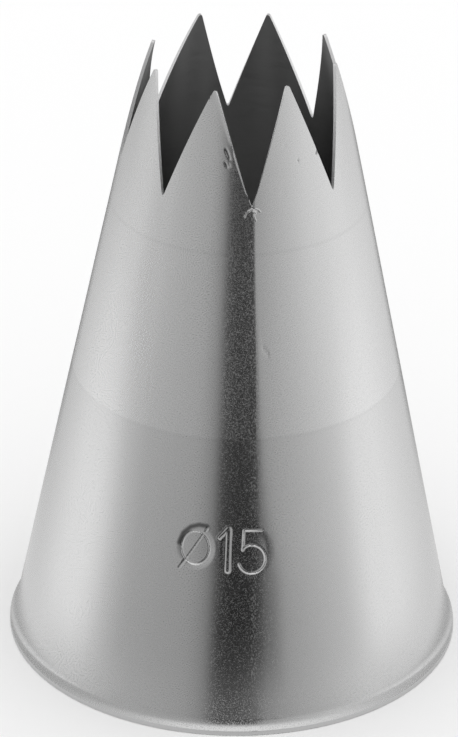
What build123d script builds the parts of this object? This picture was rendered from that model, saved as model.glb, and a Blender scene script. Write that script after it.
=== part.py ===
from build123d import *
import os
from math import atan, cos, pi, radians, sin, tan

# A star piping nozzle of thin stainless sheet, standing on its flared rim.
# Millimetres, +Z up, origin at the centre of the base plane, seam and one notch towards -Y.

# Sheet and overall size
opening_d = 15.0        # clear opening between the leaning tooth tips
sheet = 0.4             # thickness of the sheet at the rim
tip_sheet = 0.25        # thickness at the tooth tips; the wall thins evenly from the rim up
height = 53.0           # base plane to tooth tips
taper = 11.45           # half angle of the cone, in degrees

# Flared rim
rim_bend = 0.42         # concave bend between the wall and the top of the rim
rim_roll = 0.65         # convex bend underneath, between the inside wall and the base plane

# Crown of teeth
tooth_count = 8
notch_z = 43.55         # height where the two straight flanks of a notch would meet
notch_angle = 33.7      # angle between the flanks of a notch, in degrees
notch_root = 0.1        # radius of the notch's rounded root
tooth_tip = 0.2         # radius of a tooth's rounded tip
lean_z = 44.2           # height where the wall starts to curve inward
lean = 0.15             # how far the curve has brought the wall inward at the tips

# Seam
seam_gap = 0.5          # between the two edges of the rolled blank
tack_d = 1.5            # weld spot at the seam's upper end
tack_rise = 0.15        # how far the spot stands out of the wall
tack_z = 42.9           # height of the middle of the spot

# Cone worked out from the opening and the height; thicknesses are measured level here
slope = tan(radians(taper))
level_rim = sheet / cos(radians(taper))
level_tip = tip_sheet / cos(radians(taper))
thinning = (level_rim - level_tip) / height
base_outer = opening_d / 2 + lean + level_tip + height * slope


def outer_r(z):
    return base_outer - z * slope


def inner_r(z):
    return outer_r(z) - level_rim + z * thinning


# Each bend turns from the wall to the horizontal, and ends one tangent length along both
inner_taper = atan(slope - thinning)
bend_reach = rim_bend * tan(radians(90 - taper) / 2)
roll_reach = rim_roll * tan((pi / 2 - inner_taper) / 2)
rim_r = outer_r(sheet) + bend_reach
bend_z = sheet + bend_reach * cos(radians(taper))
roll_z = roll_reach * cos(inner_taper)
along_outside = (-sin(radians(taper)), cos(radians(taper)))
along_inside = (-sin(inner_taper), cos(inner_taper))

# The sheet is drawn past the tooth tips, and the notches cut away what is above them
drawn_z = height + 1.0

with BuildSketch(Plane.XZ) as wall_section:
    with BuildLine():
        base = Line((inner_r(0) + roll_reach, 0), (rim_r, 0))
        edge = Line(base @ 1, (rim_r, sheet))
        bend = TangentArc(edge @ 1, (outer_r(bend_z), bend_z), tangent=(-1, 0))
        outside = Line(bend @ 1, (outer_r(lean_z), lean_z))
        outside_lean = TangentArc(outside @ 1, (outer_r(drawn_z) - lean, drawn_z), tangent=along_outside)
        top = Line(outside_lean @ 1, (inner_r(drawn_z) - lean, drawn_z))
        inside_lean = TangentArc((inner_r(lean_z), lean_z), top @ 1, tangent=along_inside)
        inside = Line((inner_r(lean_z), lean_z), (inner_r(roll_z), roll_z))
        roll = TangentArc(base @ 0, inside @ 1, tangent=(-1, 0))
    make_face()

# One notch: a wedge towards -Y, open at the top
flank = tan(radians(notch_angle / 2))
above_tips = drawn_z + 1.0
notch_half = (above_tips - notch_z) * flank

with BuildPart() as notch:
    with BuildSketch(Plane.XZ) as notch_outline:
        Polygon((0, notch_z), (notch_half, above_tips), (-notch_half, above_tips), align=None)
        fillet(notch_outline.vertices().group_by(Axis.Z)[0], radius=notch_root)
    extrude(amount=rim_r)

towards_seam = (Align.CENTER, Align.MAX, Align.MIN)
standing = (Align.CENTER, Align.CENTER, Align.MIN)

# Rolled sheet with its teeth, open along the seam
with BuildPart() as cone_shell:
    revolve(wall_section.sketch, axis=Axis.Z)
    with PolarLocations(0, tooth_count):
        add(notch.part, mode=Mode.SUBTRACT)
    tip_edges = cone_shell.edges().filter_by(GeomType.LINE).filter_by_position(Axis.Z, height - 1, drawn_z)
    fillet(tip_edges, radius=tooth_tip)
    Box(seam_gap, rim_r, height, align=towards_seam, mode=Mode.SUBTRACT)

# Flush weld that fills the seam from the rim to the root of the front notch
with BuildPart() as seam_weld:
    revolve(wall_section.sketch, axis=Axis.Z)
    Box(seam_gap, rim_r, height, align=towards_seam, mode=Mode.INTERSECT)
    add(notch.part, mode=Mode.SUBTRACT)

# Low round spot on the outside of the wall, over the seam's upper end
tack_ball = ((tack_d / 2) ** 2 + tack_rise ** 2) / (2 * tack_rise)
tack_sunk = tack_ball - tack_rise
tack_y = -outer_r(tack_z) + tack_sunk * cos(radians(taper))
tack_centre = (0, tack_y, tack_z - tack_sunk * sin(radians(taper)))

with BuildPart() as seam_end_tack:
    with Locations(tack_centre):
        Sphere(tack_ball)
    Cone(base_outer, outer_r(height), height, align=standing, mode=Mode.SUBTRACT)

cone_shell.part.label = "cone_shell"
seam_weld.part.label = "seam_weld"
seam_end_tack.part.label = "seam_end_tack"

os.makedirs("parts", exist_ok=True)
export_step(cone_shell.part, "parts/cone_shell.step")
export_step(seam_weld.part, "parts/seam_weld.step")
export_step(seam_end_tack.part, "parts/seam_end_tack.step")
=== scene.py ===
from math import acos, asin, atan, atan2, cos, exp, hypot, inf, pi, radians, sin, sqrt, tan

import bmesh
import bpy
from bpy.props import FloatProperty, FloatVectorProperty, IntProperty, PointerProperty
from mathutils import Matrix, Vector, noise


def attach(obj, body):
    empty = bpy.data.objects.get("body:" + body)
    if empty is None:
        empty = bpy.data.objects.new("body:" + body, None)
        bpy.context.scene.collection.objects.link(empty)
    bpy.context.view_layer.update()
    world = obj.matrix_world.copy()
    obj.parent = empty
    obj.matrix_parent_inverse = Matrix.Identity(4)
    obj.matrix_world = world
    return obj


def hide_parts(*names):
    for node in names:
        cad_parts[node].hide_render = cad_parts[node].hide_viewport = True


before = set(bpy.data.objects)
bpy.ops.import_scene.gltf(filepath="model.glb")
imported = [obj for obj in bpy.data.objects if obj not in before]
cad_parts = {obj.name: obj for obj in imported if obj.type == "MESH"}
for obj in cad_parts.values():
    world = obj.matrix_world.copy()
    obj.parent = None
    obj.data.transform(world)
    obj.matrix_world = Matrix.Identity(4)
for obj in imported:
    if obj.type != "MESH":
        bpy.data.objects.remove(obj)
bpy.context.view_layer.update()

bl_info = {
    "name": "Piping Nozzle",
    "version": (1, 0, 0),
    "blender": (4, 5, 0),
    "location": "3D View > Sidebar > Nozzle",
    "description": "Open-star piping nozzle of satin stainless sheet",
    "category": "Object",
}

MM = 0.001
BODY = "root"


class NozzleShape(bpy.types.PropertyGroup):
    """Sizes of the rolled sheet"""

    opening: FloatProperty(
        name="Opening", description="Clear opening between the tooth tips", default=15.0 * MM, unit="LENGTH"
    )
    sheet: FloatProperty(
        name="Rim Sheet", description="Thickness of the sheet at the rim", default=0.4 * MM, unit="LENGTH"
    )
    tip_sheet: FloatProperty(
        name="Tip Sheet", description="Thickness of the sheet at the tooth tips", default=0.25 * MM, unit="LENGTH"
    )
    height: FloatProperty(
        name="Height", description="Base plane to tooth tips", default=53.0 * MM, unit="LENGTH"
    )
    taper: FloatProperty(
        name="Taper", description="Half angle of the cone", default=radians(11.45), subtype="ANGLE"
    )
    rim_flare: FloatProperty(
        name="Rim Flare",
        description="How far the rim stands out past the line of the wall",
        default=0.3436 * MM,
        unit="LENGTH",
    )
    rim_bend: FloatProperty(
        name="Rim Bend",
        description="Radius of the soft bend that turns the wall out to the rim",
        default=1.6 * MM,
        unit="LENGTH",
    )
    teeth: IntProperty(name="Teeth", description="Number of teeth in the crown", default=8, min=3)
    notch_height: FloatProperty(
        name="Notch Height",
        description="Height where the two flanks of a notch would meet",
        default=43.55 * MM,
        unit="LENGTH",
    )
    notch_angle: FloatProperty(
        name="Notch Angle", description="Angle between the flanks", default=radians(33.7), subtype="ANGLE"
    )
    notch_root: FloatProperty(
        name="Notch Root", description="Radius of a notch's root", default=0.1 * MM, unit="LENGTH"
    )
    dressed_height: FloatProperty(
        name="Dressed Root Height",
        description="Height of the front notch's root, which was dressed after welding",
        default=43.94 * MM,
        unit="LENGTH",
    )
    dressed_angle: FloatProperty(
        name="Dressed Root Angle",
        description="Angle between the flanks at the dressed root",
        default=radians(44),
        subtype="ANGLE",
    )
    tooth_tip: FloatProperty(
        name="Tooth Tip", description="Radius of a tooth's tip", default=0.2 * MM, unit="LENGTH"
    )
    lean_start: FloatProperty(
        name="Lean Start", description="Height where the teeth start to lean", default=44.2 * MM, unit="LENGTH"
    )
    lean: FloatProperty(
        name="Lean", description="How far the tooth tips lean inward", default=0.15 * MM, unit="LENGTH"
    )
    seam_gap: FloatProperty(
        name="Seam", description="Width of the weld in the seam", default=0.5 * MM, unit="LENGTH"
    )
    seam_kink: FloatProperty(
        name="Seam Kink",
        description="Turn of the wall where the sheet leaves the seam on its right-hand side",
        default=radians(7.5),
        subtype="ANGLE",
    )
    edge_round: FloatProperty(
        name="Weld Edges", description="Width of the rounding on the weld's edges", default=0.035 * MM, unit="LENGTH"
    )
    edge_worn: FloatProperty(
        name="Worn Edge",
        description="Most that the edges left of the front notch are rounded; their short pieces hold it to less",
        default=0.15 * MM,
        unit="LENGTH",
    )


class NozzleFinish(bpy.types.PropertyGroup):
    """Finish of the stainless sheet and its marks"""

    colour: FloatVectorProperty(
        name="Steel", description="Reflection colour of the steel", subtype="COLOR", default=(0.72, 0.72, 0.72)
    )
    cut_colour: FloatVectorProperty(
        name="Cut Edge", description="Reflection colour of the cut edges", subtype="COLOR", default=(0.95, 0.95, 0.95)
    )
    roughness: FloatProperty(
        name="Roughness", description="Roughness of the ground between the specks", default=0.175, subtype="FACTOR"
    )
    grain: FloatProperty(
        name="Grain", description="Width of the satin specks", default=0.09 * MM, unit="LENGTH"
    )
    # The inside's colour is far darker than the steel's: painted shade inside the nozzle
    inner_colour_with_painted_shade: FloatVectorProperty(
        name="Inside", description="Reflection colour of the inside", subtype="COLOR", default=(0.32, 0.32, 0.32)
    )
    mark_height: FloatProperty(
        name="Figure Height", description="Height of the size figures on the wall", default=15.0 * MM, unit="LENGTH"
    )
    mark_depth: FloatProperty(
        name="Figure Depth", description="Depth of the stamped figures", default=0.06 * MM, unit="LENGTH"
    )


class NozzleStudio(bpy.types.PropertyGroup):
    """Camera and light"""

    front: FloatProperty(
        name="Front",
        description="Direction round the nozzle of the dark gap in the light tent",
        default=radians(-6.2),
        subtype="ANGLE",
    )
    azimuth: FloatProperty(
        name="Azimuth", description="Camera direction round the nozzle", default=radians(-6.2), subtype="ANGLE"
    )
    elevation: FloatProperty(
        name="Elevation", description="Camera height above the horizon", default=radians(28.44), subtype="ANGLE"
    )
    roll: FloatProperty(name="Roll", description="Camera roll", default=radians(0.944), subtype="ANGLE")
    distance: FloatProperty(
        name="Distance", description="Camera to the nozzle's middle", default=411.8 * MM, unit="LENGTH"
    )
    aim_height: FloatProperty(
        name="Aim Height", description="Height that the camera aims at", default=24.04 * MM, unit="LENGTH"
    )
    aim_side: FloatProperty(
        name="Aim Side", description="How far the aim lies to the right of the axis", default=-0.575 * MM, unit="LENGTH"
    )
    lens: FloatProperty(name="Lens", description="Focal length in millimetres", default=241.8)


def smooth(low, high, value):
    """0 below low, 1 above high, and smooth between."""
    part = min(max((value - low) / (high - low), 0.0), 1.0)
    return part * part * (3 - 2 * part)


def place_round(radius, angle, height):
    """A place by its radius, its angle to the right of the seam and its height."""
    return Vector((radius * sin(angle), -radius * cos(angle), height))


def slope(shape):
    """How fast the radius falls with height."""
    return tan(shape.taper)


def outer_radius(shape, height):
    """Radius of the outside of the straight wall."""
    tip = shape.opening / 2 + shape.lean + shape.tip_sheet / cos(shape.taper)
    return tip + (shape.height - height) * slope(shape)


def thickness(shape, height):
    """Thickness of the sheet, which thins evenly from the rim to the tooth tips."""
    return shape.sheet + (shape.tip_sheet - shape.sheet) * (height / shape.height)


def rim_radius(shape):
    return outer_radius(shape, shape.sheet) + shape.rim_flare


def rim_turn(shape):
    """How far the bend turns the wall outward."""
    return acos(1 - shape.rim_flare * cos(shape.taper) / shape.rim_bend)


def bend_top(shape):
    """Height where the bend runs out into the straight wall."""
    along = shape.rim_bend * sin(rim_turn(shape)) - shape.rim_flare * sin(shape.taper)
    return shape.sheet + along * cos(shape.taper)


def bend_height(shape, turn):
    """Height in the bend where the wall has turned outward so far."""
    return bend_top(shape) + shape.rim_bend * (sin(shape.taper) - sin(shape.taper + turn))


# Heights this close count as the same
CLOSE = 0.001 * MM


def profile(shape, height):
    """Radius of the outside at one height, and how far the wall has turned up from the horizontal."""
    top = bend_top(shape)
    if height >= top:
        return outer_radius(shape, height), pi / 2 - shape.taper
    if height < shape.sheet + CLOSE:
        return rim_radius(shape), 0.0
    tilt = asin(sin(shape.taper) + (top - height) / shape.rim_bend)
    return outer_radius(shape, top) + shape.rim_bend * (cos(shape.taper) - cos(tilt)), pi / 2 - tilt


# How far the dressed root may reach to either side of its notch, as a share of a tooth's pitch
DRESSED_REACH = 1 / 8
# A step beside a tooth's tip that measures how steep its flanks are there, as a share of the pitch
TIP_STEP = 1 / 100


def crown_height(shape, angle):
    """Height of the cut edge in one direction, with rounded notch roots and tooth tips."""
    pitch = 2 * pi / shape.teeth
    nearest = round(angle / pitch)
    from_notch = abs(angle - nearest * pitch)
    dressed = nearest % shape.teeth == 0

    def flank_height(turn, foot, half):
        reach = outer_radius(shape, 0.0) * sin(turn) + foot * tan(half)
        return reach / (tan(half) + slope(shape) * sin(turn))

    half = shape.notch_angle / 2
    height = flank_height(from_notch, shape.notch_height, half)
    if dressed and from_notch < pitch * DRESSED_REACH:
        return max(height, flank_height(from_notch, shape.dressed_height, shape.dressed_angle / 2))
    aside = outer_radius(shape, shape.notch_height) * sin(from_notch)
    if aside < shape.notch_root * cos(half):
        centre = shape.notch_height + shape.notch_root / sin(half)
        return centre - sqrt(shape.notch_root ** 2 - aside ** 2)
    sharp = flank_height(pitch / 2, shape.notch_height, half)
    step = pitch * TIP_STEP
    drop = sharp - flank_height(pitch / 2 - step, shape.notch_height, half)
    half = atan(outer_radius(shape, sharp) * step / drop)
    aside = outer_radius(shape, sharp) * sin(pitch / 2 - from_notch)
    if aside < shape.tooth_tip * cos(half):
        centre = sharp - shape.tooth_tip / sin(half)
        return centre + sqrt(shape.tooth_tip ** 2 - aside ** 2)
    return height


# How each tooth has been bent: degrees round the cone, and millimetres inward, from the seam to the right
TOOTH_LEANS = (
    (0.9, 0.21), (1.3, -0.05), (-1.3, 0.18), (-0.3, 0.20),
    (-2.7, -0.05), (1.9, 0.42), (0.4, 0.0), (1.3, -0.10),
)


def tooth_lean(shape, angle, height):
    """How far a tooth is bent at one point: round the cone, and inward."""
    reach = max((height - shape.lean_start) / (shape.height - shape.lean_start), 0.0) ** 2
    sideways, inward = TOOTH_LEANS[int(angle * shape.teeth / (2 * pi)) % shape.teeth]
    return radians(sideways) * reach, inward * MM * reach


# How the kink beside the seam dies away to the right, and where it has ended
KINK_REACH = 3.0 * MM
KINK_END = 24.0 * MM
# Its least share, at the foot, and the heights between which it grows to the full
KINK_LEAST = 0.15
KINK_GROWS = (11.0 * MM, 20.0 * MM)
# Its softness, the height up to which that lasts, and how fast the crease sharpens above it
KINK_SOFTNESS = 0.95 * MM
KINK_SOFT_TOP = 16.0 * MM
KINK_SHARPENS = 8.0 * MM
# How much further left it starts near the tack, and the heights between which it gets there
KINK_EARLY = 0.12 * MM
KINK_EARLY_FROM = (31.0 * MM, 37.0 * MM)


def seam_drop(shape, angle, height):
    """The wall sinks a little where it leaves the seam on the right, so its reflection jumps there."""
    start = shape.seam_gap / 2 - KINK_EARLY * smooth(*KINK_EARLY_FROM, height)
    past = angle * outer_radius(shape, height) - start
    if not 0.0 < past < KINK_END:
        return 0.0
    share = KINK_LEAST + (1 - KINK_LEAST) * smooth(*KINK_GROWS, height)
    crease = KINK_SOFTNESS * exp(-max(height - KINK_SOFT_TOP, 0.0) / KINK_SHARPENS)
    run = past - crease * (1 - exp(-past / crease))
    return share * tan(shape.seam_kink) * run * exp(-past / KINK_REACH)


WAVE_LENGTH = 9.0 * MM
WAVE_DEPTH = 0.012 * MM
# Heights between which the waves set in above the rim
WAVES_FROM = (1.0 * MM, 4.0 * MM)


def wall_waves(angle, radius, height):
    """Unevenness left by rolling and polishing, in long soft waves."""
    return WAVE_DEPTH * noise.noise(place_round(radius, angle, height) / WAVE_LENGTH)


def arc_points(centre, radii, start, end, count):
    """Points on an elliptical arc, between two angles in degrees."""
    points = []
    for index in range(count + 1):
        turn = radians(start + (end - start) * index / count)
        points.append((centre[0] + radii[0] * cos(turn), centre[1] + radii[1] * sin(turn)))
    return points


# The size figures: half width of the groove, share of it that is flat, and its line, in millimetres
# along the wall, to the right of the seam and up
SIZE_STROKES = (
    (0.11, 0.2, arc_points((-4.8, 0.66), (1.18, 1.42), 0, 360, 24)),
    (0.13, 0.0, [(-6.05, -1.2), (-5.5, -0.3)]),
    (0.07, 0.0, [(-5.6, -0.46), (-4.2, 1.85)]),
    (0.12, 0.2, [(-4.0, 2.18), (-3.87, 2.4)]),
    (0.24, 0.5, [(-2.06, 2.42), (-2.11, -1.15)]),
    (0.17, 0.4, [(-2.83, 1.66), (-2.14, 2.45)]),
    (0.12, 0.1, [(0.76, 2.3), (-0.8, 2.34), (-0.88, 0.62)]),
    (0.12, 0.1, arc_points((-0.13, -0.14), (1.12, 1.22), 135, -160, 18)),
)
# Where the stamp has pushed the sheet in within the figures: middle, half width and height, and depth
STAMP_HOLLOWS = (
    (-4.8, 0.66, 1.3, 1.5, 0.075),
    (-2.1, 0.6, 0.5, 1.8, 0.02),
    (-0.1, 0.5, 1.3, 1.9, 0.03),
)
# Where a hollow starts to run out and where it has ended, as shares of its half width and height
HOLLOW_RUN = (0.85, 1.3)
# Raised lip along a groove: its share of the figures' depth, and its place and width in half widths
FIGURE_LIP = 0.1
LIP_PLACE = 1.35
LIP_WIDTH = 0.3
# What the figures reach: left, right, low and high; and how high the painted shade and the thin dark line by them reach
FIGURE_FIELD = (-7.2, 2.6, -2.6, 4.0)
SHADE_AND_LINE_TOP = 9.0


def turned(angle):
    """The same direction, between half a turn to the left and half a turn to the right."""
    return (angle + pi) % (2 * pi) - pi


def line_distance(point, line):
    """Shortest distance from a point to a line of straight pieces."""
    best = inf
    for (ax, ay), (bx, by) in zip(line, line[1:]):
        dx, dy = bx - ax, by - ay
        part = ((point[0] - ax) * dx + (point[1] - ay) * dy) / (dx * dx + dy * dy)
        part = min(max(part, 0.0), 1.0)
        best = min(best, hypot(point[0] - ax - dx * part, point[1] - ay - dy * part))
    return best


def figure_depth(finish, across, up):
    """Depth of the stamped figures at a point of the wall, in metres."""
    depth = 0.0
    for half_width, flat, line in SIZE_STROKES:
        away = line_distance((across, up), line) / half_width
        groove = min(max((1 - away) / (1 - flat), 0.0), 1.0)
        lip = FIGURE_LIP * exp(-((away - LIP_PLACE) / LIP_WIDTH) ** 2)
        depth = max(depth, groove) if groove > 0 else depth - lip
    hollow = 0.0
    for x, y, wide, tall, deep in STAMP_HOLLOWS:
        hollow += deep * (1 - smooth(*HOLLOW_RUN, hypot((across - x) / wide, (up - y) / tall)))
    return finish.mark_depth * depth + hollow * MM


# Painted shade along the top of the Ø, and a thin dark line above the figures: half width and strength, and the line,
# as for the strokes
PAINTED_SHADE_AND_DARK_LINE = (
    (0.27, 0.9, [(-6.2, 0.9), (-5.9, 1.8), (-5.3, 2.4), (-4.6, 2.65), (-3.9, 2.6)]),
    (0.07, 0.6, [(0.1, 6.6), (0.25, 7.3), (0.6, 8.0)]),
)


def painted_shade_and_dark_line(across, up):
    """How strongly a point is darkened by the painted shade and the thin dark line by the figures."""
    shade = 0.0
    if not (FIGURE_FIELD[0] < across < FIGURE_FIELD[1] and FIGURE_FIELD[2] < up < SHADE_AND_LINE_TOP):
        return shade
    for half_width, strength, line in PAINTED_SHADE_AND_DARK_LINE:
        shade = max(shade, strength * exp(-((line_distance((across, up), line) / half_width) ** 2)))
    return shade


# Small dents and scratches: degrees from the seam and height, their ends in millimetres from there,
# half width and depth in millimetres
DENTS = (
    (-12.6, 48.15, (-0.14, 0.3), (0.12, -0.3), 0.1, 0.05),
    (-13.0, 47.25, (-0.06, 0.12), (0.05, -0.1), 0.1, 0.04),
    (-11.6, 47.3, (0.0, 0.1), (0.02, -0.1), 0.07, 0.02),
    (37.3, 47.3, (-0.1, -0.12), (0.06, 0.14), 0.11, 0.05),
    (25.1, 47.1, (-0.02, 0.03), (0.02, -0.03), 0.09, 0.04),
    (17.75, 48.5, (-0.05, 0.0), (0.05, 0.0), 0.1, 0.015),
    (15.0, 44.7, (-0.1, 0.05), (0.1, -0.02), 0.12, 0.025),
    (5.0, 32.05, (-0.2, 0.22), (0.2, -0.22), 0.1, 0.017),
    (-16.9, 26.8, (-0.4, 0.02), (0.4, -0.02), 0.07, 0.012),
    (-39.0, 28.7, (-0.02, 0.35), (0.02, -0.35), 0.07, 0.012),
    (-58.0, 2.7, (-0.5, 0.1), (0.5, -0.05), 0.08, 0.015),
)
# How far from its place a dent may reach, in millimetres
DENT_REACH = 1.2
# A dent this deep is dark all through
PIT_DEPTH = 0.05 * MM


def dent_depth(radius, angle, height):
    """Depth of the small dents at a point of the wall, in metres."""
    total = 0.0
    for place, level, start, end, half_width, depth in DENTS:
        across = turned(angle - radians(place)) * radius / MM
        up = height / MM - level
        if abs(across) < DENT_REACH and abs(up) < DENT_REACH:
            away = line_distance((across, up), [start, end])
            total += depth * MM * exp(-((away / half_width) ** 2))
    return total


def figure_place(shape, finish, angle, height):
    """Place by the figures, in millimetres to the right of the seam and up the wall."""
    across = turned(angle) * outer_radius(shape, finish.mark_height) / MM
    return across, (height - finish.mark_height) / cos(shape.taper) / MM


def relief(shape, finish, angle, height):
    """How far the outside stands out from the true cone."""
    radius = outer_radius(shape, height)
    if height < bend_top(shape):
        return 0.0
    rise = wall_waves(angle, radius, height) * smooth(*WAVES_FROM, height)
    rise -= dent_depth(radius, angle, height)
    across, up = figure_place(shape, finish, angle, height)
    if FIGURE_FIELD[0] < across < FIGURE_FIELD[1] and FIGURE_FIELD[2] < up < FIGURE_FIELD[3]:
        rise -= figure_depth(finish, across, up)
    return rise


# Depth of the two faces in the flat blank
OUTSIDE = 0.0
INSIDE = -1.0


def roll_up(shape, finish, bm):
    """Rolls a flat blank into the cone: x is the angle, y the height, z how deep in the sheet."""
    # Darkening of the steel: the deeper a dent, the darker, plus the painted shade and the thin dark line by the
    # figures
    dents_and_painted_shade = bm.verts.layers.float.new("dents_and_painted_shade")
    for vert in bm.verts:
        angle, height, depth = vert.co
        radius, turn = profile(shape, height)
        radius -= seam_drop(shape, angle, height)
        inward = -depth * thickness(shape, height)
        if depth == OUTSIDE:
            inward -= relief(shape, finish, angle, height)
            # Darker by the depth of the dents, and by the painted shade and the thin dark line by the figures
            shade_and_dark_line = painted_shade_and_dark_line(*figure_place(shape, finish, angle, height))
            vert[dents_and_painted_shade] = dent_depth(radius, angle, height) / PIT_DEPTH + shade_and_dark_line
        bent_round, bent_in = tooth_lean(shape, angle, height)
        radius -= inward * sin(turn) + bent_in
        angle += bent_round
        vert.co = place_round(radius, angle, height - inward * cos(turn))


# The blank's grid: rows in the rim's bend and from the crown's base up, and columns
BEND_ROWS = 8
CROWN_BASE = 41.0 * MM
CROWN_ROWS = 24
LEAST_ROW = 0.1 * MM
COLUMNS = 384
# How strongly the columns are drawn to the notches and tips, and over what height that sets in
COLUMN_PULL = 0.7
PULL_RUN = 6.0 * MM
# Beside the seam the columns make room for the weld within this angle
SEAM_SPREAD = radians(3.0)
# Where the rows of the wall start, and how far apart they are from there up
ROW_STEPS = ((0.0, 1.9 * MM), (12.3 * MM, 0.3 * MM), (19.0 * MM, 1.9 * MM))


def row_heights(shape):
    """Heights of the rows of the blank: the rim's bend, the wall and the crown."""
    rows = []
    for index in range(BEND_ROWS):
        rows.append(bend_height(shape, rim_turn(shape) * (1 - index / BEND_ROWS)))
    height = bend_top(shape)
    while height < CROWN_BASE - LEAST_ROW:
        rows.append(height)
        step = [gap for start, gap in ROW_STEPS if start <= height][-1]
        height = min([height + step] + [start for start, gap in ROW_STEPS if start > height])
    for index in range(CROWN_ROWS + 1):
        rows.append(CROWN_BASE + (shape.height - CROWN_BASE) * index / CROWN_ROWS)
    return rows


def seam_angle(shape, height):
    """Half the angle that the weld covers at one height."""
    return asin(shape.seam_gap / 2 / profile(shape, height)[0])


def sheet_angle(shape, share, height):
    """Columns of the sheet, drawn together at notch roots and tooth tips, and open at the seam."""
    steps = 2 * shape.teeth
    pull = COLUMN_PULL * smooth(CROWN_BASE - PULL_RUN, CROWN_BASE, height)
    angle = 2 * pi * share
    angle -= pull / steps * sin(steps * angle)
    opened = seam_angle(shape, height)
    from_seam = min(angle, 2 * pi - angle)
    if from_seam < SEAM_SPREAD:
        from_seam = opened + from_seam * (SEAM_SPREAD - opened) / SEAM_SPREAD
        return from_seam if share < 0.5 else 2 * pi - from_seam
    return angle


def weld_angle(shape, share, height):
    """Columns of the weld, evenly across the seam."""
    return (2 * share - 1) * seam_angle(shape, height)


def thicken(bm):
    """Gives a flat grid a thickness of one unit, and returns the vertices of its back."""
    grown = bmesh.ops.extrude_face_region(bm, geom=bm.faces[:], use_keep_orig=True)["geom"]
    back = {item for item in grown if isinstance(item, bmesh.types.BMVert)}
    bmesh.ops.translate(bm, verts=list(back), vec=(0.0, 0.0, INSIDE))
    return back


# A column leans with height, so its height at the crown is found in this many rounds
CROWN_ROUNDS = 4


def cut_blank(shape, columns, angle_at):
    """A flat blank with its crown cut, one unit thick: x is the angle, y the height, z the depth."""
    rows = row_heights(shape)
    last = len(rows) - 1
    bm = bmesh.new()
    bmesh.ops.create_grid(bm, x_segments=columns, y_segments=last, size=0.5)
    tops = {}
    for vert in bm.verts:
        share = round((vert.co.x + 0.5) * columns) / columns
        if share not in tops:
            top = shape.notch_height
            for _ in range(CROWN_ROUNDS):
                top = crown_height(shape, angle_at(shape, share, top))
            tops[share] = top
        height = rows[round((vert.co.y + 0.5) * last)]
        if height > CROWN_BASE:
            part = (height - CROWN_BASE) / (shape.height - CROWN_BASE)
            height = CROWN_BASE + part * (tops[share] - CROWN_BASE)
        vert.co = (angle_at(shape, share, height), height, OUTSIDE)
    thicken(bm)
    return bm


def refine(bm, left, right, low, high, cuts):
    """Divides the outside of a blank more finely between two directions in degrees and two heights."""

    def within(vert):
        across = turned(vert.co.x)
        return (
            vert.co.z == OUTSIDE
            and radians(left) < across < radians(right)
            and low * MM < vert.co.y < high * MM
        )

    edges = [edge for edge in bm.edges if all(within(vert) for vert in edge.verts)]
    if edges:
        bmesh.ops.subdivide_edges(bm, edges=edges, cuts=cuts, use_grid_fill=True)


# Fields of the wall that carry small shapes: degrees left and right, millimetres low and high, cuts
FINE_FIELDS = (
    (-24.8, 5.6, 12.6, 18.5, 4),
    (-0.5, 5.0, 20.5, 24.5, 4),
    (-18.0, -8.5, 46.4, 49.4, 2),
    (33.5, 41.5, 46.4, 48.2, 2),
    (21.5, 28.5, 46.4, 47.9, 2),
    (14.5, 20.5, 47.9, 49.1, 2),
    (3.2, 7.2, 28.2, 34.5, 7),
    (-20.0, -13.5, 25.3, 29.0, 3),
    (-42.0, -36.0, 27.0, 31.0, 3),
    (-61.5, -54.5, 1.2, 5.0, 3),
)


# Materials of the sheet, by their place in its list
OUTER_FACES = 0
CUT_FACES = 1
INNER_FACES = 2
# A cut face of the flat blank points up or down this many times as much as sideways, and a bit more
CUT_STEEP = 3
CUT_LEAST = 0.1
# An edge that turns more than this is sharp
SHARP = radians(38)
# The worn edge: directions between which it lies, from what height up, and its segments
WORN_TURN = (radians(-24), radians(-2.2))
WORN_ABOVE = 44.4 * MM
WORN_SEGMENTS = 3
EDGE_SEGMENTS = 2


def is_worn(edge):
    """Whether an edge is an outer one beside the front notch, on its left."""
    outer = any(face.material_index == OUTER_FACES for face in edge.link_faces)
    return outer and all(
        vert.co.z > WORN_ABOVE and WORN_TURN[0] < atan2(vert.co.x, -vert.co.y) < WORN_TURN[1]
        for vert in edge.verts
    )


def round_off(bm, edges, width, segments):
    """Rounds edges over a width to either side."""
    bmesh.ops.bevel(
        bm,
        geom=edges,
        offset=width,
        offset_type="OFFSET",
        segments=segments,
        profile=0.5,
        affect="EDGES",
        clamp_overlap=True,
        material=-1,
    )


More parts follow.
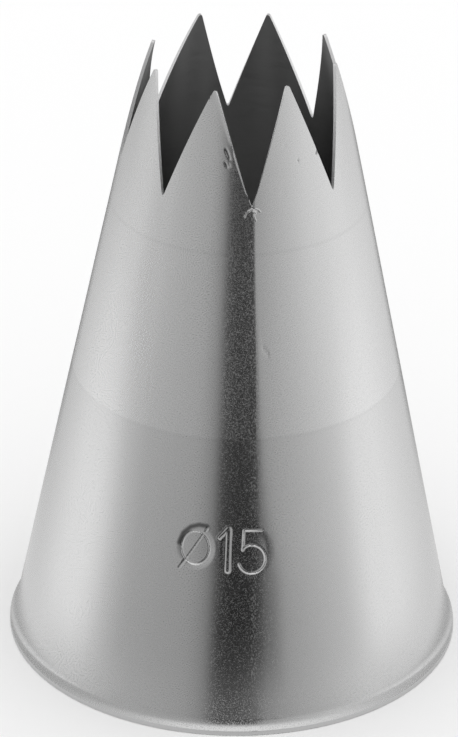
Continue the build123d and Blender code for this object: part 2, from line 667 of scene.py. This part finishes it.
def finish_sheet(shape, finish, bm, rounded):
    """Marks the cut faces, refines the fields with small shapes, rolls the blank and rounds some of its edges."""
    bmesh.ops.recalc_face_normals(bm, faces=bm.faces[:])
    for face in bm.faces:
        face.smooth = True
        face.material_index = OUTER_FACES
        if abs(face.normal.y) > CUT_STEEP * abs(face.normal.x) + CUT_LEAST:
            face.material_index = CUT_FACES
        if all(vert.co.z == INSIDE for vert in face.verts):
            face.material_index = INNER_FACES
    for field in FINE_FIELDS:
        refine(bm, *field)
    walls = {face for face in bm.faces if len({vert.co.z for vert in face.verts}) > 1}
    cut = {face for face in walls if face.material_index == CUT_FACES}
    seam_sides = walls - cut
    roll_up(shape, finish, bm)
    worn = [
        edge
        for edge in bm.edges
        if len(cut.intersection(edge.link_faces)) == 1
        and not seam_sides.intersection(edge.link_faces)
        and is_worn(edge)
    ]
    round_off(bm, worn, shape.edge_worn, WORN_SEGMENTS)
    if rounded:
        corners = [
            edge
            for edge in bm.edges
            if edge.calc_face_angle(0.0) > SHARP
            and any(face.material_index == CUT_FACES for face in edge.link_faces)
            and not seam_sides.intersection(edge.link_faces)
        ]
        round_off(bm, corners, shape.edge_round, EDGE_SEGMENTS)
    for edge in bm.edges:
        edge.smooth = edge.calc_face_angle(0.0) < SHARP


def new_piece(name, bm, *materials):
    """An object of its own from a bmesh, in the scene's collection."""
    mesh = bpy.data.meshes.new(name)
    bm.to_mesh(mesh)
    bm.free()
    piece = bpy.data.objects.new(name, mesh)
    bpy.context.collection.objects.link(piece)
    for material in materials:
        mesh.materials.append(material)
    return piece


def new_material(name, colour, roughness):
    """A bare metal, its node tree, its shader and the object's own coordinates."""
    material = bpy.data.materials.new(name)
    material.use_nodes = True
    tree = material.node_tree
    shader = tree.nodes["Principled BSDF"]
    shader.inputs["Base Color"].default_value = (*colour, 1.0)
    shader.inputs["Metallic"].default_value = 1.0
    shader.inputs["Roughness"].default_value = roughness
    coords = tree.nodes.new("ShaderNodeTexCoord")
    return material, tree, shader, coords.outputs["Object"]


def node(tree, kind, inputs=(), **settings):
    """One node with its settings; an input is linked where it is a socket and set where it is a value."""
    made = tree.nodes.new(kind)
    for key, value in settings.items():
        setattr(made, key, value)
    for key, value in dict(inputs).items():
        if isinstance(value, bpy.types.NodeSocket):
            tree.links.new(value, made.inputs[key])
        else:
            made.inputs[key].default_value = value
    return made


def noise_field(tree, place, size, detail=1.0, rough=0.5):
    """Noise with blobs of one size, in metres."""
    return node(
        tree,
        "ShaderNodeTexNoise",
        {"Vector": place, "Scale": 1 / size, "Detail": detail, "Roughness": rough},
    ).outputs["Fac"]


def ramp(tree, value, low, high, start, end):
    """Takes a value from one range to another, smoothly."""
    return node(
        tree,
        "ShaderNodeMapRange",
        {"Value": value, "From Min": low, "From Max": high, "To Min": start, "To Max": end},
        interpolation_type="SMOOTHSTEP",
    ).outputs["Result"]


def calculate(tree, operation, first, second=0.0):
    """A sum, product or the like of two values, or a function of one."""
    return node(tree, "ShaderNodeMath", {0: first, 1: second}, operation=operation).outputs["Value"]


def blend(tree, share, first, second):
    """From the first level to the second, by a share."""
    return node(tree, "ShaderNodeMix", {"Factor": share, "A": first, "B": second}).outputs["Result"]


def by_height(tree, height, value, steps):
    """Changes a value up the wall by steps: two heights in millimetres, and what is added below and above them."""
    for low, high, start, end in steps:
        value = calculate(tree, "ADD", value, ramp(tree, height, low * MM, high * MM, start, end))
    return value


def raise_field(tree, shader, field, depth):
    """Makes a surface stand out by a small depth where a field is high."""
    raised = node(tree, "ShaderNodeBump", {"Height": field, "Strength": 1.0, "Distance": depth})
    tree.links.new(raised.outputs["Normal"], shader.inputs["Normal"])


# Satin specks: the noise where they start to show, how much more makes them full, and their roughness
SPECK_CLEAR = 0.5
SPECK_SPAN = 0.2
SPECK_ROUGHNESS = 0.36
# How these and the tone change at the foot, above the lower forming ring and in the crown
CLEAR_STEPS = ((2.0, 5.0, -0.03, 0.0), (24.6, 25.0, 0.0, -0.05), (38.0, 42.0, 0.0, -0.04))
ROUGHNESS_STEPS = ((2.0, 5.0, 0.16, 0.0), (38.0, 42.0, 0.0, -0.07))
TONE_STEPS = ((24.6, 25.0, -0.014, 0.0555),)
# Forming rings: their heights, half width and tone
FORMING_RINGS = (24.8 * MM, 40.0 * MM)
RING_HALF_WIDTH = 0.25 * MM
RING_TONE = 0.95
# Share of full darkening that starts to show, and the tone at full darkening, in the dents and in the painted shade
DARKENING_SHOWS = 0.2
DARKENED_TONE = 0.25


def satin_steel(finish):
    """Satin stainless: a sharp ground with hazy specks, which grow denser above each forming ring."""
    material, tree, shader, place = new_material("satin stainless", finish.colour, finish.roughness)
    height = node(tree, "ShaderNodeSeparateXYZ", {"Vector": place}).outputs["Z"]
    specks = noise_field(tree, place, finish.grain)
    clear = by_height(tree, height, SPECK_CLEAR, CLEAR_STEPS)
    full = calculate(tree, "ADD", clear, SPECK_SPAN)
    hazy = by_height(tree, height, SPECK_ROUGHNESS, ROUGHNESS_STEPS)
    roughness = ramp(tree, specks, clear, full, finish.roughness, hazy)
    tree.links.new(roughness, shader.inputs["Roughness"])
    tone = by_height(tree, height, 1.0, TONE_STEPS)
    for ring_height in FORMING_RINGS:
        away = calculate(tree, "ABSOLUTE", calculate(tree, "SUBTRACT", height, ring_height))
        ring = ramp(tree, away, 0.0, RING_HALF_WIDTH, RING_TONE, 1.0)
        tone = calculate(tree, "MULTIPLY", tone, ring)
    # Darker in the dents, and in the painted shade by the figures
    dents_and_painted_shade = node(tree, "ShaderNodeAttribute", attribute_name="dents_and_painted_shade").outputs["Fac"]
    tone = calculate(tree, "MULTIPLY", tone, ramp(tree, dents_and_painted_shade, DARKENING_SHOWS, 1.0, 1.0, DARKENED_TONE))
    colour = node(tree, "ShaderNodeVectorMath", {0: finish.colour, "Scale": tone}, operation="SCALE")
    tree.links.new(colour.outputs["Vector"], shader.inputs["Base Color"])
    return material


# Grooves inside: width, how they are drawn out round the cone, and what their noise makes of the roughness
GROOVE_WIDTH = 0.25 * MM
GROOVE_DRAWN = (0.08, 0.08, 1.0)
GROOVE_NOISE = (0.3, 0.7)
INNER_ROUGHNESS = (0.43, 0.53)
QUARTER_TURN = 0.25


def inner_steel(finish):
    """Inside of the sheet, with grooves that run round the cone, and a colour darkened as painted shade."""
    middle = sum(INNER_ROUGHNESS) / 2
    material, tree, shader, place = new_material("grooved inside", finish.inner_colour_with_painted_shade, middle)
    shader.inputs["Anisotropic"].default_value = 1.0
    shader.inputs["Anisotropic Rotation"].default_value = QUARTER_TURN
    around = node(tree, "ShaderNodeTangent", direction_type="RADIAL", axis="Z").outputs["Tangent"]
    tree.links.new(around, shader.inputs["Tangent"])
    drawn = node(tree, "ShaderNodeMapping", {"Vector": place, "Scale": GROOVE_DRAWN}).outputs["Vector"]
    lines = noise_field(tree, drawn, GROOVE_WIDTH, detail=3.0, rough=0.6)
    tree.links.new(ramp(tree, lines, *GROOVE_NOISE, *INNER_ROUGHNESS), shader.inputs["Roughness"])
    return material


CUT_ROUGHNESS = 0.45
SHEAR_WIDTH = 0.08 * MM
SHEAR_DEPTH = 0.006 * MM


def cut_steel(finish):
    """Bright cut edge with fine shear lines."""
    material, tree, shader, place = new_material("cut edge", finish.cut_colour, CUT_ROUGHNESS)
    raise_field(tree, shader, noise_field(tree, place, SHEAR_WIDTH, detail=2.0), SHEAR_DEPTH)
    return material


# The weld's specks show from here, and are drawn out along the seam
WELD_CLEAR = 0.46
WELD_DRAWN = (1.0, 1.0, 0.5)


def weld_steel(finish):
    """Ground weld: like the sheet, with specks drawn out along the seam."""
    material, tree, shader, place = new_material("ground weld", finish.colour, finish.roughness)
    drawn = node(tree, "ShaderNodeMapping", {"Vector": place, "Scale": WELD_DRAWN}).outputs["Vector"]
    specks = noise_field(tree, drawn, finish.grain)
    hazy = ramp(tree, specks, WELD_CLEAR, WELD_CLEAR + SPECK_SPAN, finish.roughness, SPECK_ROUGHNESS)
    tree.links.new(hazy, shader.inputs["Roughness"])
    return material


TACK_ROUGHNESS = 0.34
CRUST_GRAIN = 0.1 * MM
CRUST_DEPTH = 0.01 * MM


def tack_steel(finish):
    """Rough spot of weld metal."""
    material, tree, shader, place = new_material("tack metal", finish.colour, TACK_ROUGHNESS)
    raise_field(tree, shader, noise_field(tree, place, CRUST_GRAIN, detail=3.0, rough=0.6), CRUST_DEPTH)
    return material


def rolled_piece(context, name, columns, angle_at, outer_steel, rounded=False):
    """A piece of rolled sheet, shaded so that its narrow edges don't bend the light on the wall."""
    shape, finish = context.scene.nozzle_shape, context.scene.nozzle_finish
    bm = cut_blank(shape, columns, angle_at)
    finish_sheet(shape, finish, bm, rounded)
    piece = new_piece(name, bm, outer_steel(finish), cut_steel(finish), inner_steel(finish))
    piece.modifiers.new("even shading", "WEIGHTED_NORMAL").keep_sharp = True
    return piece


class NOZZLE_OT_add_sheet(bpy.types.Operator):
    """Add the rolled stainless sheet with its teeth, rim and stamped figures"""

    bl_idname = "nozzle.add_sheet"
    bl_label = "Add Rolled Sheet"

    def execute(self, context):
        piece = rolled_piece(context, "rolled_sheet", COLUMNS, sheet_angle, satin_steel)
        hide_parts("cone_shell")
        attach(piece, BODY)
        return {"FINISHED"}


WELD_COLUMNS = 6


class NOZZLE_OT_add_seam(bpy.types.Operator):
    """Add the flush weld that closes the seam"""

    bl_idname = "nozzle.add_seam"
    bl_label = "Add Seam Weld"

    def execute(self, context):
        piece = rolled_piece(context, "ground_weld", WELD_COLUMNS, weld_angle, weld_steel, rounded=True)
        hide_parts("seam_weld")
        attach(piece, BODY)
        return {"FINISHED"}


# Middle of the tack, its grid, its half width and how far it reaches down and up, in millimetres, and its root
TACK_HEIGHT = 43.55 * MM
TACK_CELLS = 56
TACK_HALF_WIDTH = 0.95
TACK_BELOW = 1.2
TACK_ABOVE = 0.36
TACK_ROOT = 0.15 * MM
# Ridges of the tack: half width and height at each end, and the line, in millimetres right and up
TACK_RIDGES = (
    (0.12, 0.17, 0.17, [(0.16, 0.0), (0.18, 0.02)]),
    (0.15, 0.035, 0.0, [(-0.05, 0.12), (-0.22, 0.08), (-0.42, -0.12), (-0.6, -0.42)]),
    (0.1, 0.045, 0.015, [(0.32, 0.2), (0.45, 0.16), (0.62, 0.02), (0.8, -0.2)]),
    (0.08, 0.04, 0.0, [(0.12, -0.3), (0.2, -0.5), (0.33, -0.8)]),
    (0.05, 0.05, 0.02, [(0.28, -0.05), (0.3, -0.22), (0.18, -0.28)]),
)
# A ridge falls from one height to the other over this length
RIDGE_LENGTH = 1.1
# Hollows between the ridges: middle, width and depth
TACK_HOLLOWS = ((-0.17, -0.31, 0.18, 0.05), (0.02, -0.08, 0.08, 0.05))
# Level under the ridges, depth and size of the crust on them, and where the edge sinks into the wall
TACK_BED = -0.03
TACK_CRUST = 0.03
TACK_CRUMB = 0.16
TACK_EDGE = (0.7, 1.0)


def tack_reach(up):
    """How far the tack reaches, up or down, on the side that a point is on."""
    return TACK_ABOVE if up > 0 else TACK_BELOW


def tack_rise(across, up):
    """How far the tack stands out of the wall, in millimetres, and below the wall round its edge."""
    rise = TACK_BED
    for half_width, high, low, line in TACK_RIDGES:
        away = line_distance((across, up), line) / half_width
        from_start = min(hypot(across - line[0][0], up - line[0][1]) / RIDGE_LENGTH, 1.0)
        rise = max(rise, TACK_BED + (high + (low - high) * from_start - TACK_BED) * exp(-away * away))
    for x, y, wide, deep in TACK_HOLLOWS:
        rise -= deep * exp(-(((across - x) ** 2 + (up - y) ** 2) / wide ** 2))
    rise += TACK_CRUST * noise.noise(Vector((across, up, 0.0)) / TACK_CRUMB)
    edge = hypot(across / TACK_HALF_WIDTH, up / tack_reach(up))
    return rise + (TACK_BED - rise) * smooth(*TACK_EDGE, edge)


class NOZZLE_OT_add_tack(bpy.types.Operator):
    """Add the star-shaped spot of weld metal under the front notch"""

    bl_idname = "nozzle.add_tack"
    bl_label = "Add Seam End Tack"

    def execute(self, context):
        shape, finish = context.scene.nozzle_shape, context.scene.nozzle_finish
        bm = bmesh.new()
        bmesh.ops.create_grid(bm, x_segments=TACK_CELLS, y_segments=TACK_CELLS, size=1.0)
        outside = [face for face in bm.faces if face.calc_center_median().length > 1.0]
        bmesh.ops.delete(bm, geom=outside, context="FACES")
        back = thicken(bm)
        bmesh.ops.recalc_face_normals(bm, faces=bm.faces[:])
        for vert in bm.verts:
            across, up = vert.co.x * TACK_HALF_WIDTH, vert.co.y * tack_reach(vert.co.y)
            height = TACK_HEIGHT + up * MM * cos(shape.taper)
            angle = across * MM / outer_radius(shape, TACK_HEIGHT)
            rise = -TACK_ROOT if vert in back else tack_rise(across, up) * MM
            radius = outer_radius(shape, height) - seam_drop(shape, angle, height) + rise * cos(shape.taper)
            height += rise * sin(shape.taper)
            vert.co = place_round(radius, angle, height)
        for face in bm.faces:
            face.smooth = True
        piece = new_piece("seam_tack", bm, tack_steel(finish))
        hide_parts("seam_end_tack")
        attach(piece, BODY)
        return {"FINISHED"}


# Brightness of the light tent round the nozzle, at the horizon: degrees from its front to the right, and level
TENT_RING = (
    (-180, 0.04), (-168, 0.3), (-157, 0.62), (-149, 0.67), (-131, 0.81), (-112, 0.97), (-94, 1.0), (-84, 0.88),
    (-75, 0.71), (-60, 0.53), (-38, 0.46), (-24, 0.43), (-16, 0.34), (-11.5, 0.27), (-9, 0.05), (0, 0.035),
    (15, 0.035), (18, 0.16), (24, 0.2), (29, 0.46), (47, 0.60), (66, 0.76), (85, 0.98), (103, 1.0), (131, 0.84),
    (157, 0.70), (168, 0.3), (180, 0.04),
)
# The same a little higher up, where it is dimmer at the sides, and the degrees between which that sets in
TENT_SIDES = (
    (-180, 0.3), (-140, 0.46), (-56, 0.46), (-20, 0.42), (-13, 0.33), (-8, 0.06), (12, 0.06), (17, 0.36),
    (30, 0.5), (56, 0.70), (80, 0.62), (110, 0.52), (150, 0.5), (180, 0.3),
)
SIDES_FROM = (0.0, 5.0)
# And overhead, with the degrees between which that sets in
TENT_CEILING = (
    (-180, 0.3), (-105, 0.55), (-56, 0.65), (-28, 0.88), (0, 0.93), (28, 0.92), (56, 0.85), (105, 0.6),
    (180, 0.3),
)
CEILING_FROM = (20.0, 46.0)
# The camera and dull surfaces see a plain white tent, this bright
TENT_WHITE = 1.15
# Brightness of the glow that the steel mirrors as the floor, painted light: millimetres from the axis, and share of the
# ring's level
FLOOR_LEFT = ((0, 1.0), (85, 1.0), (125, 0.9), (150, 0.84), (165, 0.76), (180, 0.7), (600, 0.66))
FLOOR_FRONT = ((0, 0.84), (80, 0.84), (155, 0.92), (250, 1.0), (320, 1.04), (600, 1.04))
FLOOR_RIGHT = ((0, 1.0), (85, 1.0), (125, 1.0), (150, 0.96), (165, 0.9), (200, 0.85), (600, 0.8))
# Degrees to either side of the front between which the left and the right set in
FLOOR_SIDES = (60, 85)
# In the dark gap the glow is darker still close by, a painted shade; and how far each direction lies in the gap
FLOOR_GAP = ((0, 0.1), (80, 0.1), (125, 0.3), (200, 0.8), (320, 1.04), (600, 1.04))
IN_GAP = ((-180, 0), (-14, 0), (-7, 1), (14, 1), (20, 0), (180, 0))
# A point of the floor is mirrored by steel this far from the axis, turned by this share of its azimuth. The
# sine of the ray's further turn stays within a limit.
MIRROR_RADIUS = 17.0 * MM
MIRROR_TURN = 0.58
MIRROR_LIMIT = 0.95
# Close to the foot the glow is more even, with painted shade towards the front: its levels round the nozzle, between
# which distances it gives way to the rest, in millimetres, and how much less it reaches towards the front and back
FOOT_RING = (
    (-180, 0.7), (-112, 0.8), (-82, 0.74), (-52, 0.48), (-22, 0.39), (-14, 0.3), (-8, 0.1), (4, 0.09),
    (10, 0.14), (16, 0.28), (25, 0.39), (45, 0.54), (68, 0.76), (112, 0.78), (180, 0.7),
)
FOOT_REACH = (19.0, 42.0)
FOOT_DEPTH = 0.6
# Right beside the rim it is the same all round
EDGE_LEVEL = 0.43
EDGE_REACH = (19.2, 22.5)


def graded(tree, value, stops, unit):
    """A level that follows a list of places and levels."""
    first, last = stops[0][0], stops[-1][0]
    share = node(tree, "ShaderNodeMapRange", {"Value": value, "From Min": first * unit, "From Max": last * unit})
    band = node(tree, "ShaderNodeValToRGB", {"Fac": share.outputs["Result"]})
    elements = band.color_ramp.elements
    while len(elements) < len(stops):
        elements.new(1.0)
    for element, (place, level) in zip(elements, stops):
        element.position = (place - first) / (last - first)
        element.color = (level, level, level, 1.0)
    return band.outputs["Color"]


def from_front(tree, place, studio):
    """Sideways, forward and up from the tent's front, and the azimuth from there."""
    turned_round = node(tree, "ShaderNodeMapping", {"Vector": place, "Rotation": (0.0, 0.0, -studio.front)})
    split = node(tree, "ShaderNodeSeparateXYZ", {"Vector": turned_round.outputs["Vector"]}).outputs
    forward = calculate(tree, "MULTIPLY", split["Y"], -1.0)
    return split["X"], forward, split["Z"], calculate(tree, "ARCTAN2", split["X"], forward)


def risen(tree, up, degrees):
    """Share that sets in between two heights above the horizon, in degrees."""
    low, high = (sin(radians(height)) for height in degrees)
    return ramp(tree, up, low, high, 0.0, 1.0)


def light_tent(studio):
    """A pale tent: bright sides, a dark gap in front, and a pale ceiling."""
    world = bpy.data.worlds.new("light tent")
    bpy.context.scene.world = world
    world.use_nodes = True
    tree = world.node_tree
    tree.nodes.clear()
    coords = node(tree, "ShaderNodeTexCoord").outputs["Generated"]
    _, _, up, azimuth = from_front(tree, coords, studio)
    ring = graded(tree, azimuth, TENT_RING, radians(1))
    sides = graded(tree, azimuth, TENT_SIDES, radians(1))
    ceiling = graded(tree, azimuth, TENT_CEILING, radians(1))
    level = blend(tree, risen(tree, up, SIDES_FROM), ring, sides)
    level = blend(tree, risen(tree, up, CEILING_FROM), level, ceiling)
    rays = node(tree, "ShaderNodeLightPath").outputs
    mirrored = node(tree, "ShaderNodeBackground", {"Color": level}).outputs["Background"]
    white = node(tree, "ShaderNodeBackground", {"Color": (1, 1, 1, 1), "Strength": TENT_WHITE}).outputs["Background"]
    seen = node(tree, "ShaderNodeMixShader", {0: rays["Is Glossy Ray"], 1: white, 2: mirrored})
    node(tree, "ShaderNodeOutputWorld", {"Surface": seen.outputs["Shader"]})


def mirrored_floor_glow(studio):
    """A glow that the steel mirrors as the floor: painted light that follows the tent, evened out close to the foot."""
    material = bpy.data.materials.new("mirrored floor glow")
    material.use_nodes = True
    tree = material.node_tree
    tree.nodes.clear()
    place = node(tree, "ShaderNodeTexCoord").outputs["Object"]
    side, forward, _, azimuth = from_front(tree, place, studio)
    reach = node(tree, "ShaderNodeVectorMath", {0: place}, operation="LENGTH").outputs["Value"]
    # The steel that mirrors this point is not on the axis, so its ray has turned further
    turn = calculate(tree, "SINE", calculate(tree, "MULTIPLY", azimuth, MIRROR_TURN))
    turn = calculate(tree, "MULTIPLY", turn, calculate(tree, "DIVIDE", MIRROR_RADIUS, reach))
    turn = calculate(tree, "MAXIMUM", calculate(tree, "MINIMUM", turn, MIRROR_LIMIT), -MIRROR_LIMIT)
    azimuth = calculate(tree, "ADD", azimuth, calculate(tree, "ARCSINE", turn))
    ring = graded(tree, azimuth, TENT_RING, radians(1))
    near, far = (radians(side_angle) for side_angle in FLOOR_SIDES)
    to_left = ramp(tree, azimuth, -far, -near, 1.0, 0.0)
    to_right = ramp(tree, azimuth, near, far, 0.0, 1.0)
    in_gap = graded(tree, azimuth, IN_GAP, radians(1))
    share = graded(tree, reach, FLOOR_FRONT, MM)
    for weight, stops in ((to_left, FLOOR_LEFT), (to_right, FLOOR_RIGHT), (in_gap, FLOOR_GAP)):
        share = blend(tree, weight, share, graded(tree, reach, stops, MM))
    level = calculate(tree, "MULTIPLY", ring, share)
    beside = ramp(tree, reach, EDGE_REACH[0] * MM, EDGE_REACH[1] * MM, 1.0, 0.0)
    depth = calculate(tree, "MULTIPLY", forward, FOOT_DEPTH)
    flat = node(tree, "ShaderNodeCombineXYZ", {"X": side, "Y": depth}).outputs["Vector"]
    reach = node(tree, "ShaderNodeVectorMath", {0: flat}, operation="LENGTH").outputs["Value"]
    near_foot = ramp(tree, reach, FOOT_REACH[0] * MM, FOOT_REACH[1] * MM, 1.0, 0.0)
    foot = blend(tree, beside, graded(tree, azimuth, FOOT_RING, radians(1)), EDGE_LEVEL)
    level = blend(tree, near_foot, level, foot)
    # The floor's light and shade are painted into this glow, which only the steel mirrors
    glow = node(tree, "ShaderNodeEmission", {"Strength": level})
    node(tree, "ShaderNodeOutputMaterial", {"Surface": glow.outputs["Emission"]})
    return material


MATT_ROUGHNESS = 0.9


def matt(name, level):
    """A plain grey without gloss."""
    material = bpy.data.materials.new(name)
    material.use_nodes = True
    paint = material.node_tree.nodes["Principled BSDF"]
    paint.inputs["Base Color"].default_value = (level, level, level, 1.0)
    paint.inputs["Roughness"].default_value = MATT_ROUGHNESS
    paint.inputs["Specular IOR Level"].default_value = 0.0
    return material


def floor_disc(name, radius, drop, material, mirrored_only=False):
    """A round floor, which is either only seen or only mirrored."""
    bm = bmesh.new()
    bmesh.ops.create_circle(bm, cap_ends=True, segments=96, radius=radius)
    bmesh.ops.translate(bm, verts=bm.verts, vec=(0.0, 0.0, -drop))
    disc = new_piece(name, bm, material)
    disc.visible_camera = not mirrored_only
    disc.visible_diffuse = not mirrored_only
    disc.visible_shadow = not mirrored_only
    disc.visible_glossy = mirrored_only


def photo_camera(context, studio):
    """Sets the camera up where the photograph was taken from."""
    turn, rise = studio.azimuth, studio.elevation
    away = Vector((sin(turn) * cos(rise), -cos(turn) * cos(rise), sin(rise)))
    right = Vector((cos(turn), sin(turn), 0.0))
    up = away.cross(right)
    aim = right * studio.aim_side + Vector((0.0, 0.0, studio.aim_height))
    level = right * cos(studio.roll) + up * sin(studio.roll)
    upright = up * cos(studio.roll) - right * sin(studio.roll)
    camera = bpy.data.objects.new("camera", bpy.data.cameras.new("camera"))
    context.collection.objects.link(camera)
    camera.data.lens = studio.lens
    camera.data.clip_start = 10.0 * MM
    facing = Matrix((level, upright, away)).transposed().to_4x4()
    camera.matrix_world = Matrix.Translation(aim + away * studio.distance) @ facing
    context.scene.camera = camera


# The floors: radius in metres, drop below the base plane, and level of grey
FLOOR_RADIUS = 3.0
FLOOR_DROP = 0.03 * MM
FLOOR_LEVEL = 0.87
MIRRORED_RADIUS = 0.6
MIRRORED_DROP = 0.02 * MM
# Under the nozzle a dark grey disc, seen only in reflections, is painted shade
SHADE_DROP = 0.01 * MM
SHADE_LEVEL = 0.3


class NOZZLE_OT_add_stage(bpy.types.Operator):
    """Add the pale floor, the light tent and the camera"""

    bl_idname = "nozzle.add_stage"
    bl_label = "Add Stage"

    def execute(self, context):
        shape, studio = context.scene.nozzle_shape, context.scene.nozzle_studio
        floor_disc("floor", FLOOR_RADIUS, FLOOR_DROP, matt("pale floor", FLOOR_LEVEL))
        floor_disc("floor_mirrored", MIRRORED_RADIUS, MIRRORED_DROP, mirrored_floor_glow(studio), mirrored_only=True)
        # Painted shade under the nozzle: a dark grey disc that only the steel mirrors
        shade = matt("floor painted dark as shade", SHADE_LEVEL)
        floor_disc("floor_under_nozzle", rim_radius(shape), SHADE_DROP, shade, mirrored_only=True)
        light_tent(studio)
        context.scene.view_settings.view_transform = "Standard"
        photo_camera(context, studio)
        return {"FINISHED"}


class NOZZLE_PT_sidebar(bpy.types.Panel):
    """Lists the pieces of the nozzle"""

    bl_idname = "NOZZLE_PT_sidebar"
    bl_label = "Piping Nozzle"
    bl_space_type = "VIEW_3D"
    bl_region_type = "UI"
    bl_category = "Nozzle"

    def draw(self, context):
        for operator in OPERATORS:
            self.layout.operator(operator.bl_idname)


OPERATORS = (NOZZLE_OT_add_sheet, NOZZLE_OT_add_seam, NOZZLE_OT_add_tack, NOZZLE_OT_add_stage)
CLASSES = (NozzleShape, NozzleFinish, NozzleStudio, *OPERATORS, NOZZLE_PT_sidebar)


def register():
    for cls in CLASSES:
        bpy.utils.register_class(cls)
    bpy.types.Scene.nozzle_shape = PointerProperty(type=NozzleShape)
    bpy.types.Scene.nozzle_finish = PointerProperty(type=NozzleFinish)
    bpy.types.Scene.nozzle_studio = PointerProperty(type=NozzleStudio)


def unregister():
    del bpy.types.Scene.nozzle_studio
    del bpy.types.Scene.nozzle_finish
    del bpy.types.Scene.nozzle_shape
    for cls in reversed(CLASSES):
        bpy.utils.unregister_class(cls)


def main():
    register()
    bpy.ops.nozzle.add_sheet()
    bpy.ops.nozzle.add_seam()
    bpy.ops.nozzle.add_tack()
    bpy.ops.nozzle.add_stage()


if __name__ == "__main__":
    main()
